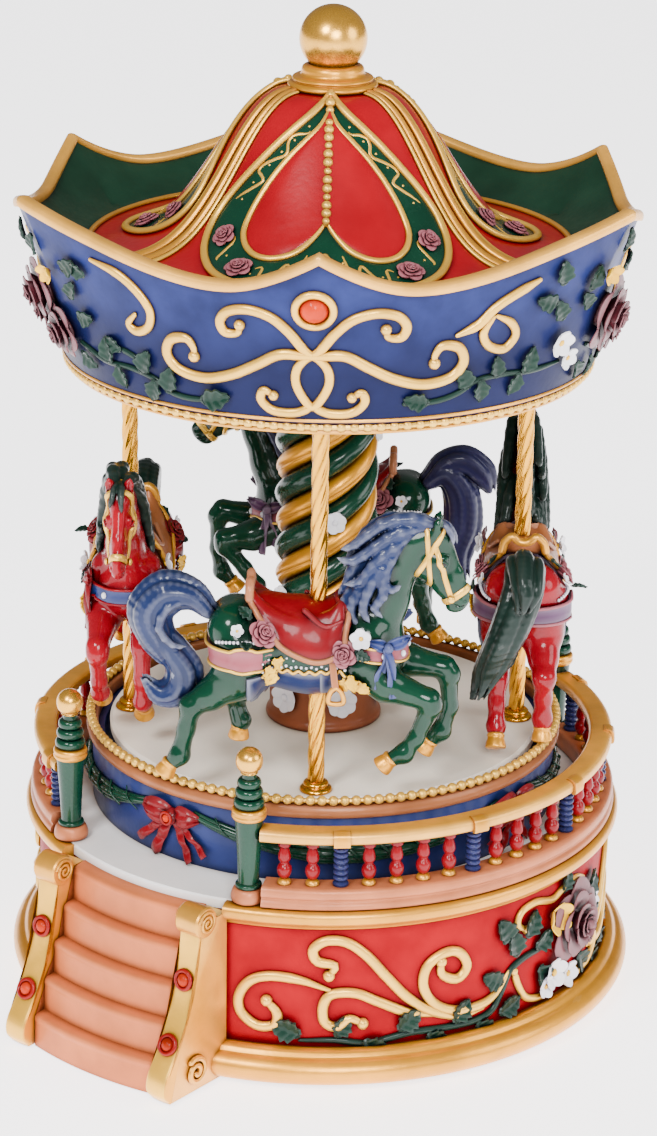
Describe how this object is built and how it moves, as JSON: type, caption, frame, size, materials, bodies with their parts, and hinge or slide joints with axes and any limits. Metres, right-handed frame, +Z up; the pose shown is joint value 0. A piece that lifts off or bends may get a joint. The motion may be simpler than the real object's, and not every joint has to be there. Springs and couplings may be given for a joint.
{
  "type": "carousel music box",
  "caption": "Wind-up carousel music box: a turntable of prancing horses on twisted poles under a crown-edged canopy, above a round base with curved stairs and a railing.",
  "frame": {"origin": "centre of the underside of the felt pad, on the turntable axis", "axes": "+Z up along the turntable axis, -Y towards the front with the stairs to its left, +X to the right"},
  "size_m": [0.185, 0.2064, 0.2869],
  "materials": {
    "red_resin": "glossy hand-painted",
    "blue_resin": "glossy hand-painted",
    "green_resin": "glossy hand-painted",
    "gold_paint": "satin metallic paint on resin",
    "peach_resin": "satin hand-painted",
    "cream_resin": "satin",
    "jewel": "glossy",
    "mauve_resin": "satin hand-painted",
    "black_plastic": "matt",
    "felt": "felt",
    "steel": "brushed",
    "brass": "polished"
  },
  "bodies": {
    "base": {"base_shell": "red_resin", "foot_molding": "gold_paint", "top_molding": "gold_paint", "deck": "cream_resin", "bottom_plate": "black_plastic", "plate_screws": "steel", "felt_pad": "felt", "stair_steps": "peach_resin", "stair_stringers": "gold_paint", "stair_jewels": "jewel", "rail_curb": "peach_resin", "handrail": "peach_resin", "balusters_red": "red_resin", "balusters_blue": "blue_resin", "newel_feet": "peach_resin", "newel_posts": "green_resin", "newel_balls": "gold_paint", "drum_wall": "blue_resin", "drum_rim": "peach_resin", "drum_beads": "gold_paint", "drum_swags": "green_resin", "drum_bows": "red_resin", "bow_jewels": "jewel", "base_scrolls": "gold_paint", "base_vines": "green_resin", "base_roses": "mauve_resin", "spindle_bushing": "brass", "movement_bedplate": "steel", "movement_spacers": "brass", "movement_screws": "steel", "music_comb": "steel", "comb_block": "brass", "cylinder_brackets": "brass", "governor_brackets": "brass"},
    "carousel": {"turntable": "cream_resin", "spring_barrel": "brass", "pole_flanges": "brass", "poles": "brass", "column_base": "peach_resin", "column_green": "green_resin", "column_gold": "gold_paint", "horse_front": "green_resin", "horse_right": "red_resin", "horse_back": "green_resin", "horse_left": "red_resin", "manes_tails": "blue_resin", "saddles": "red_resin", "canopy_ceiling": "green_resin", "canopy_fascia": "blue_resin", "rim_trim": "gold_paint", "brim_beads": "gold_paint", "fascia_scrolls": "gold_paint", "fascia_jewels": "jewel", "fascia_roses": "mauve_resin", "roof_cone": "red_resin", "roof_ornaments": "gold_paint", "finial": "gold_paint"},
    "cylinder": {"music_cylinder": "brass"},
    "governor": {"governor_fan": "steel"},
    "winder": {"winding_key": "steel"}
  },
  "joints": [
    {"name": "carousel_spin", "type": "hinge", "parent": "base", "child": "carousel", "pos_m": [0, 0, 0.0745], "axis": [0, 0, 1], "continuous": true},
    {"name": "cylinder_turn", "type": "hinge", "parent": "base", "child": "cylinder", "pos_m": [0.03, 0, 0.03227], "axis": [1, 0, 0], "continuous": true},
    {"name": "governor_turn", "type": "hinge", "parent": "base", "child": "governor", "pos_m": [0.045, -0.015, 0.03227], "axis": [1, 0, 0], "continuous": true},
    {"name": "key_wind", "type": "hinge", "parent": "base", "child": "winder", "pos_m": [0, 0, 0.012], "axis": [0, 0, 1], "continuous": true}
  ],
  "couplings": [
    {"joint": "cylinder_turn", "follows": "carousel_spin", "ratio": 3},
    {"joint": "governor_turn", "follows": "carousel_spin", "ratio": -12}
  ]
}
